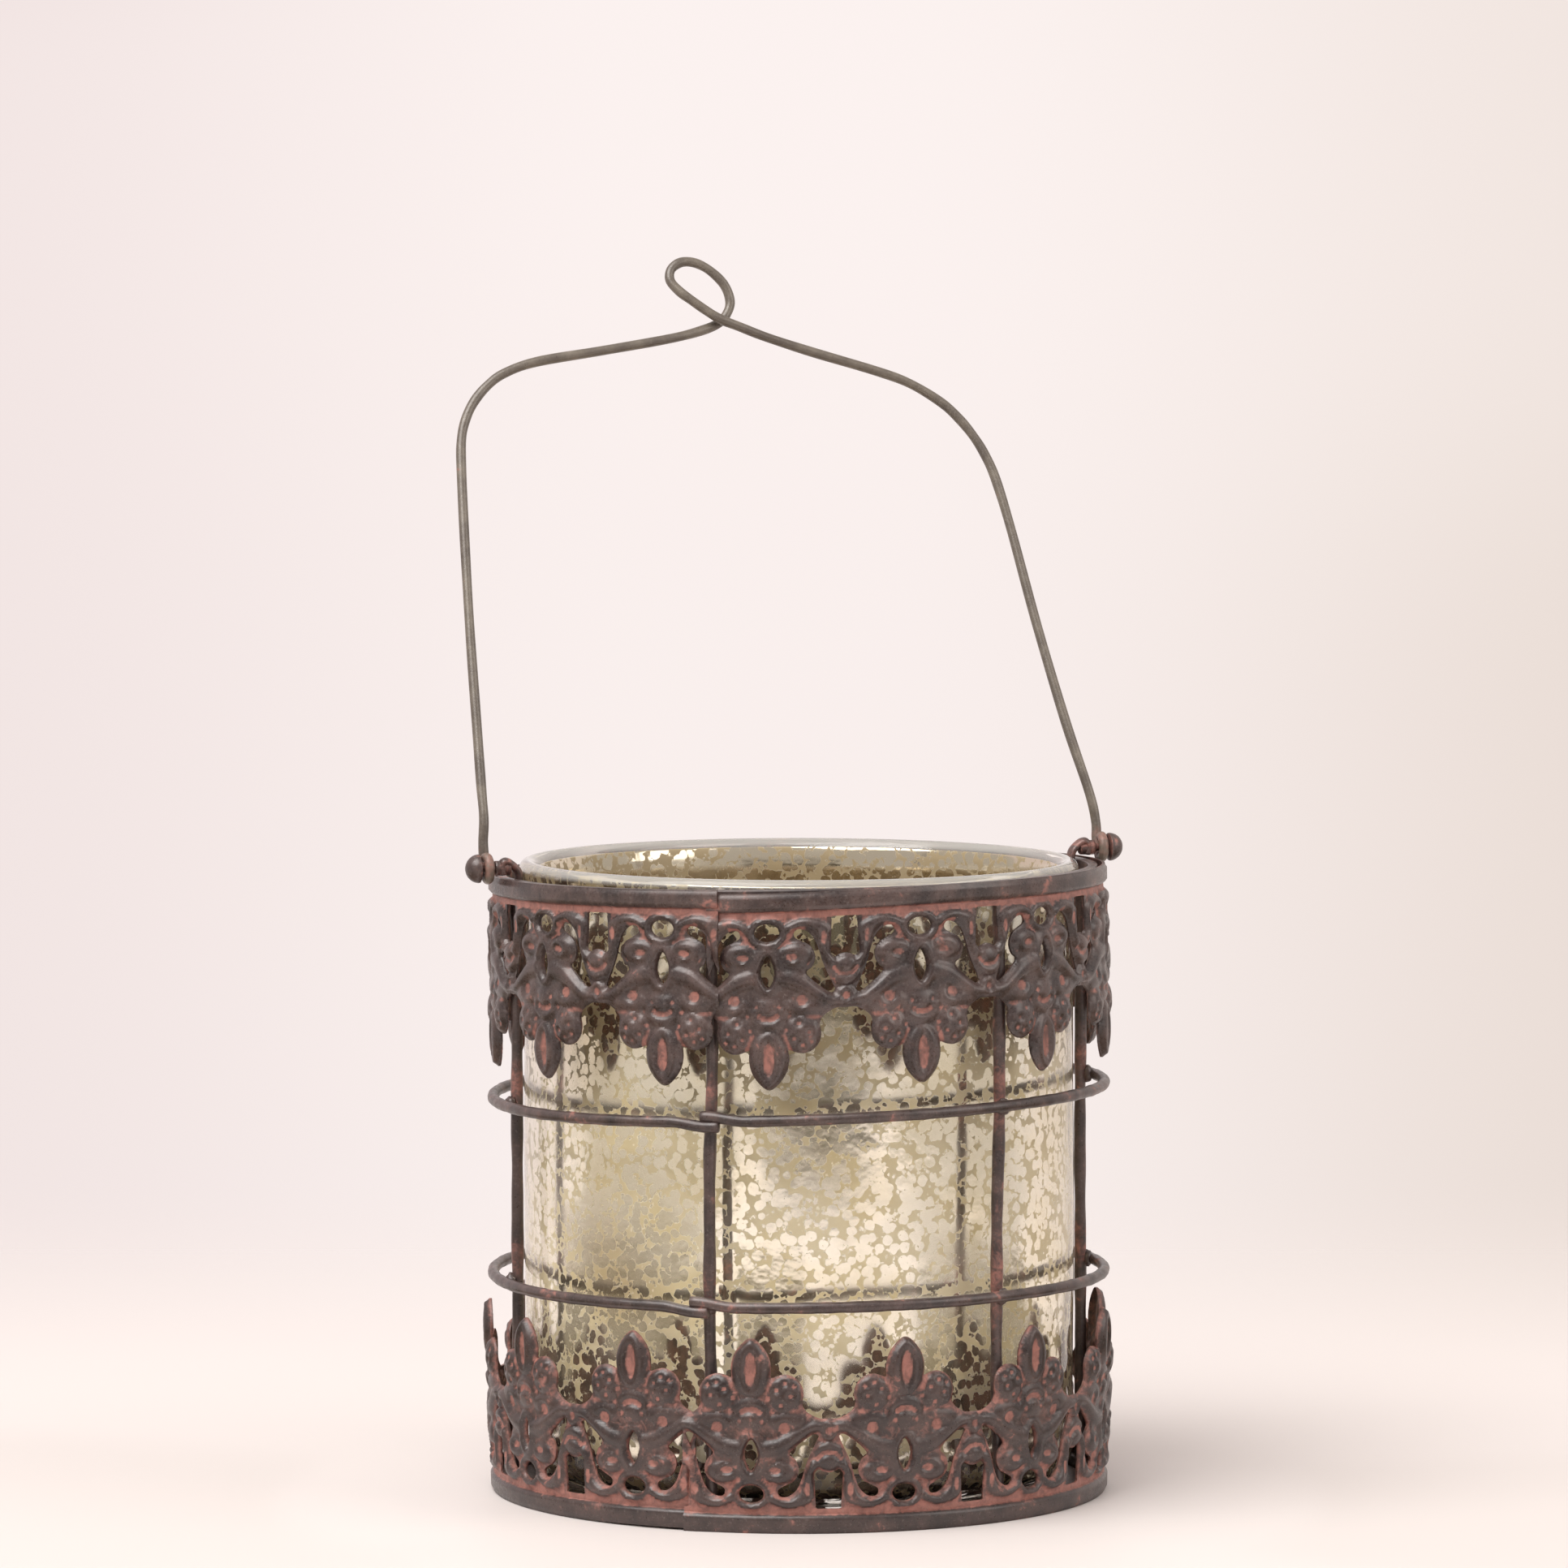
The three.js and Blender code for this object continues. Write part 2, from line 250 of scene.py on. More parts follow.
class Graph:
    """A short way to write a material's nodes."""

    def __init__(self, name):
        self.material = bpy.data.materials.new(name)
        self.material.use_nodes = True
        self.nodes = self.material.node_tree.nodes
        self.links = self.material.node_tree.links
        self.nodes.clear()
        self.output = self.nodes.new("ShaderNodeOutputMaterial")
        self.shader = self.nodes.new("ShaderNodeBsdfPrincipled")
        self.links.new(self.shader.outputs[0], self.output.inputs["Surface"])
        self.place = self.nodes.new("ShaderNodeTexCoord").outputs["Object"]

    def put(self, socket, value):
        if isinstance(value, bpy.types.NodeSocket):
            self.links.new(value, socket)
        else:
            socket.default_value = value

    def noise(self, scale, detail, roughness=0.55, distortion=0.0):
        node = self.nodes.new("ShaderNodeTexNoise")
        self.put(node.inputs["Vector"], self.place)
        node.inputs["Scale"].default_value = scale
        node.inputs["Detail"].default_value = detail
        node.inputs["Roughness"].default_value = roughness
        node.inputs["Distortion"].default_value = distortion
        return node.outputs["Fac"]

    def cells(self, scale, place):
        """Distance to the nearest of scattered points."""
        node = self.nodes.new("ShaderNodeTexVoronoi")
        self.put(node.inputs["Vector"], place)
        node.inputs["Scale"].default_value = scale
        return node.outputs["Distance"]

    def math(self, operation, *values):
        node = self.nodes.new("ShaderNodeMath")
        node.operation = operation
        for socket, value in zip(node.inputs, values):
            self.put(socket, value)
        return node.outputs[0]

    def remap(self, value, low, high, out_low=0.0, out_high=1.0):
        node = self.nodes.new("ShaderNodeMapRange")
        node.interpolation_type = "SMOOTHSTEP"
        self.put(node.inputs["Value"], value)
        ends = {"From Min": low, "From Max": high, "To Min": out_low, "To Max": out_high}
        for name, number in ends.items():
            self.put(node.inputs[name], number)
        return node.outputs["Result"]

    def mix(self, factor, a, b):
        node = self.nodes.new("ShaderNodeMix")
        node.data_type = "RGBA"
        self.put(node.inputs["Factor"], factor)
        for socket, value in ((node.inputs[6], a), (node.inputs[7], b)):
            self.put(socket, value if isinstance(value, bpy.types.NodeSocket) else (*value, 1.0))
        return node.outputs[2]

    def shifted(self, amount, scale):
        """The place, moved about by noise of the given scale."""
        wave = self.nodes.new("ShaderNodeTexNoise")
        self.put(wave.inputs["Vector"], self.place)
        wave.inputs["Scale"].default_value = scale
        wave.inputs["Detail"].default_value = 2
        centre = self.nodes.new("ShaderNodeVectorMath")
        centre.operation = "SUBTRACT"
        self.put(centre.inputs[0], wave.outputs["Color"])
        centre.inputs[1].default_value = (0.5, 0.5, 0.5)
        grow = self.nodes.new("ShaderNodeVectorMath")
        grow.operation = "SCALE"
        self.put(grow.inputs[0], centre.outputs[0])
        grow.inputs["Scale"].default_value = amount
        add = self.nodes.new("ShaderNodeVectorMath")
        self.put(add.inputs[0], self.place)
        self.put(add.inputs[1], grow.outputs[0])
        return add.outputs[0]

    def bump(self, height, strength, distance):
        node = self.nodes.new("ShaderNodeBump")
        node.inputs["Strength"].default_value = strength
        node.inputs["Distance"].default_value = distance
        self.put(node.inputs["Height"], height)
        self.put(self.shader.inputs["Normal"], node.outputs[0])

    def axes(self):
        """The place as its three coordinates."""
        parts = self.nodes.new("ShaderNodeSeparateXYZ")
        self.put(parts.inputs[0], self.place)
        return parts.outputs

    def recess(self):
        """The number that each piece keeps at its points for its finish."""
        node = self.nodes.new("ShaderNodeAttribute")
        node.attribute_name = "recess"
        return node.outputs["Fac"]

    def see_through(self, share, colour):
        """Lets a share of the light straight through."""
        through = self.nodes.new("ShaderNodeBsdfTransparent")
        through.inputs["Color"].default_value = (*colour, 1)
        mix = self.nodes.new("ShaderNodeMixShader")
        self.put(mix.inputs[0], share)
        self.links.new(self.shader.outputs[0], mix.inputs[1])
        self.links.new(through.outputs[0], mix.inputs[2])
        self.links.new(mix.outputs[0], self.output.inputs["Surface"])


DARK = (0.030, 0.019, 0.018)
LIGHTER = (0.11, 0.069, 0.06)
# A darker copy of the lace's tones for the lower strip: painted shade.
SHADED_DARK = (0.024, 0.014, 0.013)
SHADED_LIGHTER = (0.082, 0.049, 0.042)
OILY_DARK = (0.095, 0.075, 0.06)
OILY_LIGHTER = (0.19, 0.16, 0.125)
BRICK = (0.38, 0.155, 0.12)
DULL_BRICK = (0.30, 0.13, 0.10)
DUST = (0.34, 0.28, 0.25)


def patina(name, dark, light, red, red_share, roughness=0.36):
    """Dark patina over a brick red undercoat that shows in hollows and in rubbed patches."""
    g = Graph(name)
    cloud = g.noise(230, 5, 0.6)
    grit = g.noise(2600, 3, 0.6)
    streak = g.noise(700, 4, 0.65, distortion=0.8)
    hollow = g.math("MULTIPLY_ADD", g.math("SUBTRACT", streak, 0.5), 0.9, g.recess())
    blotch = g.math("ADD", g.math("MULTIPLY", cloud, 0.7), g.math("MULTIPLY", streak, 0.3))
    patch = g.remap(blotch, 0.62 - red_share, 0.7 - red_share)
    in_hollow = g.remap(hollow, 0.4, 0.95)
    red_here = g.math("MAXIMUM", in_hollow, g.math("MULTIPLY", patch, 0.75))
    dark_tone = g.mix(g.remap(cloud, 0.3, 0.75), dark, light)
    deep_red = tuple(0.55 * c for c in red)
    red_tone = g.mix(g.remap(streak, 0.3, 0.7), deep_red, red)
    tone = g.mix(red_here, dark_tone, red_tone)
    dusty = g.math("MULTIPLY", g.remap(grit, 0.56, 0.74), 0.22)
    g.put(g.shader.inputs["Base Color"], g.mix(dusty, tone, DUST))
    uneven = g.remap(grit, 0.3, 0.7, roughness - 0.09, roughness + 0.1)
    g.put(g.shader.inputs["Roughness"], g.math("MULTIPLY_ADD", red_here, 0.22, uneven))
    g.shader.inputs["Metallic"].default_value = 0.1
    g.shader.inputs["Specular IOR Level"].default_value = 0.8
    height = g.math("ADD", g.math("MULTIPLY", grit, 0.35), g.math("MULTIPLY", streak, 0.65))
    g.bump(height, 0.4, 0.00008)
    return g.material


def crackle_silver():
    """Pale gold mirror in rounded blotches that run together, parted by matt tan."""
    g = Graph("crackle_silver")
    place = g.shifted(0.0006, 800)
    ragged = g.shifted(0.0008, 1900)
    cover = g.noise(130, 3, 0.5)
    sizes = g.noise(900, 2, 0.5)
    large_rim = g.math("MULTIPLY_ADD", sizes, 0.3, g.remap(cover, 0.3, 0.7, 0.46, 0.37))
    large_blob = g.remap(g.math("SUBTRACT", large_rim, g.cells(640, place)), -0.03, 0.03)
    small_rim = g.remap(cover, 0.35, 0.65, 0.5, 0.4)
    small_blob = g.remap(g.math("SUBTRACT", small_rim, g.cells(1300, ragged)), -0.04, 0.04)
    small_here = g.remap(g.noise(330, 2, 0.5), 0.47, 0.53)
    blob = g.math("MAXIMUM", large_blob, g.math("MULTIPLY", small_blob, small_here))
    specks = g.remap(g.noise(2100, 3, 0.6), 0.67, 0.7)
    blob = g.math("MULTIPLY", blob, g.math("SUBTRACT", 1.0, g.math("MULTIPLY", specks, 0.9)))
    stain = g.noise(95, 4, 0.6)
    mirror_tone = g.mix(g.remap(stain, 0.35, 0.7), (0.98, 0.945, 0.86), (0.94, 0.88, 0.73))
    matt_tone = g.mix(g.remap(stain, 0.3, 0.7), (0.62, 0.54, 0.385), (0.58, 0.48, 0.29))
    outside_tone = g.mix(blob, matt_tone, mirror_tone)
    inside_tone = g.mix(blob, (0.30, 0.22, 0.12), (0.62, 0.53, 0.38))
    tone = g.mix(g.math("MULTIPLY", g.recess(), 0.75), outside_tone, inside_tone)
    g.put(g.shader.inputs["Base Color"], tone)
    g.put(g.shader.inputs["Metallic"], g.math("MULTIPLY", blob, 0.97))
    haze = g.remap(g.noise(60, 3, 0.5), 0.35, 0.7, 0.08, 0.22)
    rough = g.math("MULTIPLY_ADD", g.math("SUBTRACT", 1.0, blob), 0.45, haze)
    g.put(g.shader.inputs["Roughness"], rough)
    lumps = g.math("ADD", g.noise(420, 2, 0.5), g.math("MULTIPLY", blob, 0.08))
    g.bump(lumps, 0.3, 0.0001)
    return g.material


def clear_glass():
    """Faintly straw-coloured glass with slow waves, and a lip made whiter and less clear as painted light,
    which lets lamplight through.
    """
    g = Graph("clear_glass")
    g.shader.inputs["Base Color"].default_value = (0.975, 0.96, 0.915, 1)
    g.shader.inputs["Roughness"].default_value = 0.0
    g.shader.inputs["IOR"].default_value = 1.16
    # The lip's share of whiter, less clear glass is painted light.
    painted_pale_lip = g.math("MULTIPLY", g.recess(), 0.3)
    g.put(g.shader.inputs["Transmission Weight"], g.math("SUBTRACT", 1.0, painted_pale_lip))
    g.shader.inputs["Coat Weight"].default_value = 0.5
    g.shader.inputs["Coat Roughness"].default_value = 0.01
    g.bump(g.noise(70, 2, 0.4), 0.25, 0.0006)
    g.see_through(g.nodes.new("ShaderNodeLightPath").outputs["Is Shadow Ray"], (0.95, 0.94, 0.9))
    return g.material


wire_finish = patina("patina_steel", DARK, LIGHTER, BRICK, 0.05)
lace_finish = patina("rubbed_filigree", DARK, LIGHTER, BRICK, 0.02, 0.34)
# The lower strip takes a darker copy of the lace's finish as painted shade.
low_lace_finish = patina("shaded_filigree", SHADED_DARK, SHADED_LIGHTER, BRICK, 0.03)
handle_finish = patina("handle_wire", OILY_DARK, OILY_LIGHTER, DULL_BRICK, 0.0)
silver_finish = crackle_silver()
glass_finish = clear_glass()


# ---- Lace strips -------------------------------------------------------------------------------
# One motif is drawn flat: u runs along the strip from the middle of a leaf, v from the strip's
# outer edge towards the leaf tip. It mirrors about the leaf and about the midpoint between leaves,
# so only u from 0 to half a pitch is drawn.

def ellipse(u, v, cu, cv, ru, rv):
    """Signed distance to an ellipse, near enough: negative inside."""
    return (np.hypot((u - cu) / ru, (v - cv) / rv) - 1) * min(ru, rv)


def line_distance(u, v, path):
    """Signed distance to a run of straight bars, from points of (u, v, half width)."""
    best = np.full(u.shape, np.inf)
    for a, b in zip(path[:-1], path[1:]):
        du, dv, widening = b - a
        t = np.clip(((u - a[0]) * du + (v - a[1]) * dv) / (du * du + dv * dv + 1e-12), 0, 1)
        gap = np.hypot(u - a[0] - t * du, v - a[1] - t * dv) - (a[2] + t * widening)
        best = np.minimum(best, gap)
    return best


def stroke(u, v, points, half_width, per_span=6):
    """Signed distance to a curved bar, whose half width is a number or one for each point."""
    widths = np.broadcast_to(half_width, len(points))
    return line_distance(u, v, smooth_path(np.column_stack([points, widths]), per_span))


def outline(u, v, points, per_span=5):
    """Signed distance to a smooth closed outline: negative inside."""
    ring = smooth_path(points, per_span, closed=True)
    ring = np.vstack([ring, ring[:1]])
    gap = line_distance(u, v, np.column_stack([ring, np.zeros(len(ring))]))
    inside = np.zeros(u.shape, dtype=bool)
    for (au, av), (bu, bv) in zip(ring[:-1], ring[1:]):
        crosses = (av > v) != (bv > v)
        at = au + (v - av) * (bu - au) / (bv - av + 1e-12)
        inside ^= crosses & (u < at)
    return np.where(inside, -gap, gap)


def mirrored(points):
    """Both halves of an outline drawn on one side of the leaf's middle."""
    return points + [(-u, v) for u, v in points[-2:0:-1]]


def soft_maximum(a, b, blend):
    """The larger of two heights, with the corner between them eased."""
    mix = np.clip(0.5 + 0.5 * (a - b) / blend, 0, 1)
    return b + (a - b) * mix + blend * mix * (1 - mix) * 0.5


LEAF = [(0, 20.0), (1.6, 20.8), (2.6, 22.4), (2.98, 24.4), (2.5, 26.5), (1.25, 28.2), (0, 28.95)]
BORDER = [(-1, -1), (12.5, -1), (12.5, 4.1), (-1, 4.1)]
UPPER_BODY = [(-1, 3), (9.6, 3), (9.3, 9), (10.6, 10.4), (11.2, 12), (9.6, 15.5), (0, 15), (-1, 15)]
LOWER_BODY = [
    (-8, 12.4), (0, 8), (5.4, 8.2), (6.6, 13), (9.2, 14.9), (HALF_PITCH, 14.4), (13, 15.2), (13, 16.6),
    (HALF_PITCH, 17.1), (10, 17.1), (8.2, 18.1), (7.55, 19.2), (7.7, 20.6), (7.2, 22.4), (5.4, 23.6),
    (3.6, 23.3), (2.9, 23.1), (0, 24.5), (-5, 23),
]
EYE_HOLE = [(0, 9.2), (0.65, 10.2), (1.0, 11.6), (0.7, 13.0), (0, 13.9)]
SCROLL_HOLE = [
    (4.2, 5.5), (5.5, 5.5), (6.8, 6.6), (7.6, 8.5), (8.3, 10.8), (9.4, 13.2), (9.9, 14.5), (9.2, 14.8),
    (7.7, 13.8), (6.3, 12.6), (5.7, 11.7), (6.6, 10.9), (7.05, 9.4), (6.4, 7.9), (5.0, 7.1), (4.0, 6.5),
]
URN_HOLE = [
    (9.4, 3.65), (9.9, 5.0), (10.25, 6.6), (10.5, 8.1), (HALF_PITCH, 9.1), (12.4, 8.1), (12.65, 6.6),
    (13.0, 5.0), (13.5, 3.65),
]
SCROLL = [
    (3.2, 5.2), (4.8, 4.5), (6.4, 4.6), (7.9, 5.4), (8.6, 6.8), (8.9, 8.7), (9.7, 10.6), (HALF_PITCH, 11.6),
]
SCROLL_WIDTHS = [0.8, 0.75, 0.85, 1.15, 1.2, 1.0, 0.9, 0.9]
ARM = [(1.6, 12.4), (4.2, 13.0), (6.6, 14.5), (8.8, 15.8), (10.4, 16.0)]
ARM_WIDTHS = [1.5, 1.35, 1.2, 1.05, 0.85]
LOBE_DOTS = [
    (4.5, 19.1), (2.6, 20.1), (3.8, 21.4), (5.9, 20.5), (3.05, 18.05), (1.65, 16.7), (6.3, 21.9),
    (5.0, 22.4),
]


def sheet_edge(u, v, body, lobe, leaf):
    """Distance to the sheet's edge, positive on metal."""
    plates = [
        outline(u, v, BORDER, 1),
        outline(u, v, UPPER_BODY, 1),
        stroke(u, v, [(HALF_PITCH, 12.5), (HALF_PITCH, 15)], 0.9, 1),
        ellipse(u, v, HALF_PITCH, 11.6, 2.4, 2.5),
        ellipse(u, v, HALF_PITCH, 15.35, 1.6, 1.75),
        body, lobe, leaf,
    ]
    holes = [
        ellipse(u, v, 0, 5.8, 1.85, 1.3),
        outline(u, v, mirrored(EYE_HOLE)),
        outline(u, v, SCROLL_HOLE),
        outline(u, v, URN_HOLE, 1),
    ]
    return np.minimum(-np.minimum.reduce(plates), np.minimum.reduce(holes))


def raised_height(u, v, metal, body, lobe, leaf):
    """Height of the pressed relief, about 1 on the domes."""
    domes = [
        (ellipse(u, v, 0, 5.85, 3.0, 2.45), 1.15, 0.85),
        (stroke(u, v, SCROLL, SCROLL_WIDTHS), 1.05, 0.85),
        (ellipse(u, v, 4.15, 9.1, 2.6, 1.8), 1.8, 1.0),
        (ellipse(u, v, 0, 11.4, 2.75, 4.3), 2.4, 1.05),
        (stroke(u, v, ARM, ARM_WIDTHS), 1.3, 0.95),
        (ellipse(u, v, HALF_PITCH, 11.6, 2.3, 2.4), 1.7, 0.95),
        (ellipse(u, v, HALF_PITCH, 15.35, 1.5, 1.6), 0.8, 0.75),
        (ellipse(u, v, 5.3, 16.6, 3.9, 1.75), 1.7, 0.8),
        (lobe, 2.6, 1.1),
        (ellipse(u, v, 0, 17.8, 3.2, 2.9), 2.6, 0.95),
        (leaf, 2.1, 1.15),
    ]
    edge = np.clip(metal / 0.9, 0, 1)
    in_body = smoothstep(0.2, -0.9, body)
    height = (0.1 + 0.32 * in_body) * np.sqrt(edge * (2 - edge))
    for gap, rounding, level in domes:
        rise = np.clip(-gap / rounding, 0, 1)
        swell = level * np.sqrt(rise * (2 - rise) + 1e-9) * smoothstep(-0.15, 0.6, metal)
        height = soft_maximum(height, swell, 0.12)
    return height


def creases(u, v, metal, height, rubbed):
    """Redness of the low parts of the relief and of its three fine creases."""
    inland = smoothstep(0.25, 0.8, metal)
    low = smoothstep(0.5, 0.22, height) * (inland + rubbed * (1 - inland))
    red = np.maximum(low * (0.7 + 0.3 * rubbed), rubbed * 0.7 * smoothstep(0.8, 0.5, height))
    waist = ellipse(u, v, 6.6, 18.25, 1.2, 0.4)
    beside_leaf = stroke(u, v, [(2.3, 20.9), (2.9, 22.3), (3.3, 23.1)], 0.35)
    beside_hole = stroke(u, v, [(3.3, 6.4), (3.9, 5.6), (5.4, 5.2)], 0.3)
    red = np.maximum(red, 0.8 * smoothstep(0.45, -0.3, waist))
    red = np.maximum(red, 0.9 * smoothstep(0.5, -0.4, beside_leaf))
    return np.maximum(red, 0.95 * smoothstep(0.5, -0.2, beside_hole))


def dents(u, v):
    """Distance to each pressed dent, and its depth."""
    pressed = [
        (ellipse(u, v, 3.55, 9.4, 1.0, 0.62), 0.62),
        (ellipse(u, v, 5.0, 15.75, 0.95, 0.9), 0.6),
        (ellipse(u, v, 8.3, 6.6, 0.5, 1.2), 0.4),
        (ellipse(u, v, HALF_PITCH, 15.35, 0.62, 0.68), 0.6),
        (stroke(u, v, [(9.75, 11.2), (10.5, 11.95), (HALF_PITCH, 12.2)], 0.42), 0.55),
        (stroke(u, v, [(0, 18.45), (0.7, 18.35), (1.3, 18.0)], 0.5), 0.6),
        (ellipse(u, v, 0, 24.4, 0.9, 2.7), 0.62),
    ]
    return pressed + [(ellipse(u, v, du, dv, 0.42, 0.42), 0.36) for du, dv in LOBE_DOTS]


def border(v, height, red):
    """Height and redness with the flat strip along the outer edge and the red line beside it."""
    strip = 0.62 * smoothstep(2.8, 2.4, v) - 0.3 * smoothstep(0.55, 0.2, v)
    line = smoothstep(2.45, 2.8, v) * smoothstep(4.1, 3.5, v)
    red = np.where(v < 4.1, np.maximum(red * (v > 3.2), line), red)
    red = np.maximum(red, 0.22 * (v < 2.6))
    return np.where(v > 3.2, height, strip), np.clip(red, 0, 1)


def motif(u, v, rubbed):
    """The strip's edge distance (positive on metal), its height from 0 to 1 and how red it is.

    rubbed, from 0 to 1, is how much of the undercoat shows on the lower parts of the relief."""
    body = outline(u, v, LOWER_BODY, 3)
    lobe = ellipse(u, v, 4.95, 20.7, 2.8, 2.9)
    leaf = outline(u, v, mirrored(LEAF))
    metal = sheet_edge(u, v, body, lobe, leaf)
    height = raised_height(u, v, metal, body, lobe, leaf)
    red = creases(u, v, metal, height, rubbed)
    for gap, depth in dents(u, v):
        height = height - smoothstep(0.45, -0.3, gap) * depth * np.clip(height, 0, 1)
        red = np.maximum(red, (0.8 + 0.2 * rubbed) * smoothstep(0.16, -0.2, gap))
    red = np.maximum(red, (0.06 + 0.4 * rubbed) * smoothstep(0.3, 0.05, metal))
    return metal, *border(v, height, red)


def cut_out(angles, heights, metal, level, red):
    """Rows of (angle, v, level, red) and the faces of a flat grid, cut where its metal ends."""
    ids, points, faces = {}, [], []

    def corner(place):
        return angles[place[0]], heights[place[1]], level[place], red[place]

    def crossing(inner, outer):
        t = float(np.clip(metal[inner] / (metal[inner] - metal[outer]), 0.04, 0.96))
        angle, v, height, redness = (a + t * (b - a) for a, b in zip(corner(inner), corner(outer)))
        return angle, v, max(height * 0.6, 0.0), min(redness + 0.1, 1)

    def index(make, *places):
        if places not in ids:
            ids[places] = len(points)
            points.append(make(*places))
        return ids[places]

    solid = metal > 0
    for i, j in np.ndindex(len(angles) - 1, len(heights) - 1):
        corners = [(i, j), (i + 1, j), (i + 1, j + 1), (i, j + 1)]
        face = []
        for here, there in zip(corners, corners[1:] + corners[:1]):
            if solid[here]:
                face.append(index(corner, here))
            if solid[here] != solid[there]:
                inner, outer = (here, there) if solid[here] else (there, here)
                face.append(index(crossing, inner, outer))
        if len(face) > 2:
            faces.append(tuple(face))
    return np.array(points), faces


def edge_walls(faces, count):
    """Faces from the open edges to the same edges of a back whose points come count later."""
    edges = {}
    for face in faces:
        for a, b in zip(face, face[1:] + face[:1]):
            if (b, a) in edges:
                del edges[(b, a)]
            else:
                edges[(a, b)] = True
    return [(b, a, a + count, b + count) for a, b in edges]


def lace_strip(seam, pitch, flare, slip, rubbed):
    """Points, faces and redness of a whole strip, front and back, lapped at its seam."""
    start, stop = seam - BAND_LAP, seam + 360 + BAND_LAP
    columns = round(math.radians(stop - start) * BAND_RADIUS / GRID)
    angles = np.linspace(start, stop, columns + 1)
    heights = np.linspace(0, STRIP_HEIGHT, round(STRIP_HEIGHT / GRID) + 1)
    seam_pitch = 360 - (LEAF_COUNT - 1) * pitch
    leaves = (angles - seam - seam_pitch / 2) / pitch
    across = np.abs(leaves - np.round(leaves)) * 2 * HALF_PITCH
    uu, vv = np.meshgrid(across, heights, indexing="ij")
    metal, level, red = motif(uu, vv, rubbed)
    from_seam = np.minimum(angles - start, stop - angles)[:, None]
    rubbed_seam = (0.35 + 0.5 * rubbed) * np.exp(-((from_seam - 1.2) / 2.2) ** 2)
    red = np.maximum(red, rubbed_seam * smoothstep(0, 4, vv) * smoothstep(17, 9, vv))
    grid, faces = cut_out(angles, heights, metal, level, red)

    angle, v, level, red = grid.T
    v = v + slip * smoothstep(stop - 50, stop, angle)
    lift = 0.3 * smoothstep(start + 7, start, angle) - 0.22 * smoothstep(stop - 7, stop, angle)
    wave = 0.16 * np.sin(np.radians(angle * 5 + 40)) + 0.1 * np.sin(np.radians(angle * 11))
    middle = BAND_RADIUS + flare * v / MOTIF_HEIGHT + wave * smoothstep(6, MOTIF_HEIGHT, v) + lift
    turn = np.radians(angle)
    sides = [np.column_stack([radius * np.sin(turn), -radius * np.cos(turn), v])
             for radius in (middle + RELIEF * level, middle - BAND_SHEET + 0.8 * RELIEF * level)]
    count = len(grid)
    back = [tuple(c + count for c in reversed(face)) for face in faces]
    redness = np.concatenate([red, np.full(count, BACK_REDNESS)])
    return np.vstack(sides), faces + back + edge_walls(faces, count), redness


def lace_band(name, finish, seam, pitch, flare, slip, rubbed, upside_down):
    """A strip in its place: leaves up at the foot of the cage, or upside down at its top."""
    verts, faces, redness = lace_strip(180 - seam if upside_down else seam, pitch, flare, slip, rubbed)
    if upside_down:
        verts = verts * np.array([1, -1, -1]) + np.array([0, 0, TOP_HEIGHT])
        verts = tilt_top(verts)
    make_piece(name, verts, faces, finish, "cage", [name], redness, 55)


lace_band("upper_filigree_band", lace_finish, -15.7, 28.35, 0.0, 0.7, 0.15, True)
lace_band("lower_filigree_band", low_lace_finish, -20.2, 28.1, BAND_FLARE, 0.35, 0.72, False)


# ---- Rings, uprights and hoops -----------------------------------------------------------------

def softened_box(low, high, inside, outside, edge=0.3):
    """Profile of a flat ring with softened edges."""
    corners = [(inside, low, 1, 1), (outside, low, -1, 1), (outside, high, -1, -1), (inside, high, 1, -1)]
    profile = []
    for number, (r, z, inward, upward) in enumerate(corners):
        for share in np.linspace(0, 1, 5):
            turn = math.radians(180 + 90 * (number + share))
            profile.append((r + edge * (inward + math.cos(turn)), z + edge * (upward + math.sin(turn))))
    return profile


def uneven_ring(turn, _):
    """How far a hand-bent ring strays from round."""
    return 0.07 * math.sin(3 * turn + 1) + 0.04 * math.sin(7 * turn)


def flat_ring(node, low, high, outside, tilted):
    """A flat ring inside the plain edge of a lace strip."""
    profile = softened_box(low, high, RING_INSIDE, outside)
    verts, faces = lathe(profile, ROUND_STEPS, closed=True, wobble=uneven_ring)
    if tilted:
        verts = tilt_top(verts)
    recess = 0.25 + 0.35 * soft_noise(verts, 9, 3)
    make_piece(node, verts, faces, wire_finish, "cage", [node], recess)


flat_ring("base_ring", 0.0, 2.5, 45.5, False)
flat_ring("upper_ring", TOP_HEIGHT - 1.9, TOP_HEIGHT - 0.1, 45.7, True)


def level_of(node):
    """Height of a node's middle."""
    low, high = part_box(node)
    return (low[2] + high[2]) / 2 / MM


def upright_axes(node):
    """Middle of an upright in plan, and its outward and sideways directions."""
    low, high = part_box(node)
    middle = np.array([low[0] + high[0], low[1] + high[1], 0]) / 2 / MM
    out = middle / np.linalg.norm(middle)
    return middle, out, np.array([-out[1], out[0], 0])


UPRIGHTS = [f"upright_{i}" for i in range(1, 7)]
WORN_UPRIGHT = "upright_3"
HOOP_LEAN = {"lower_hoop": 0.35, "upper_hoop": 1.5}
HOOP_SEAM = {"lower_hoop": -18.5, "upper_hoop": -16.5}


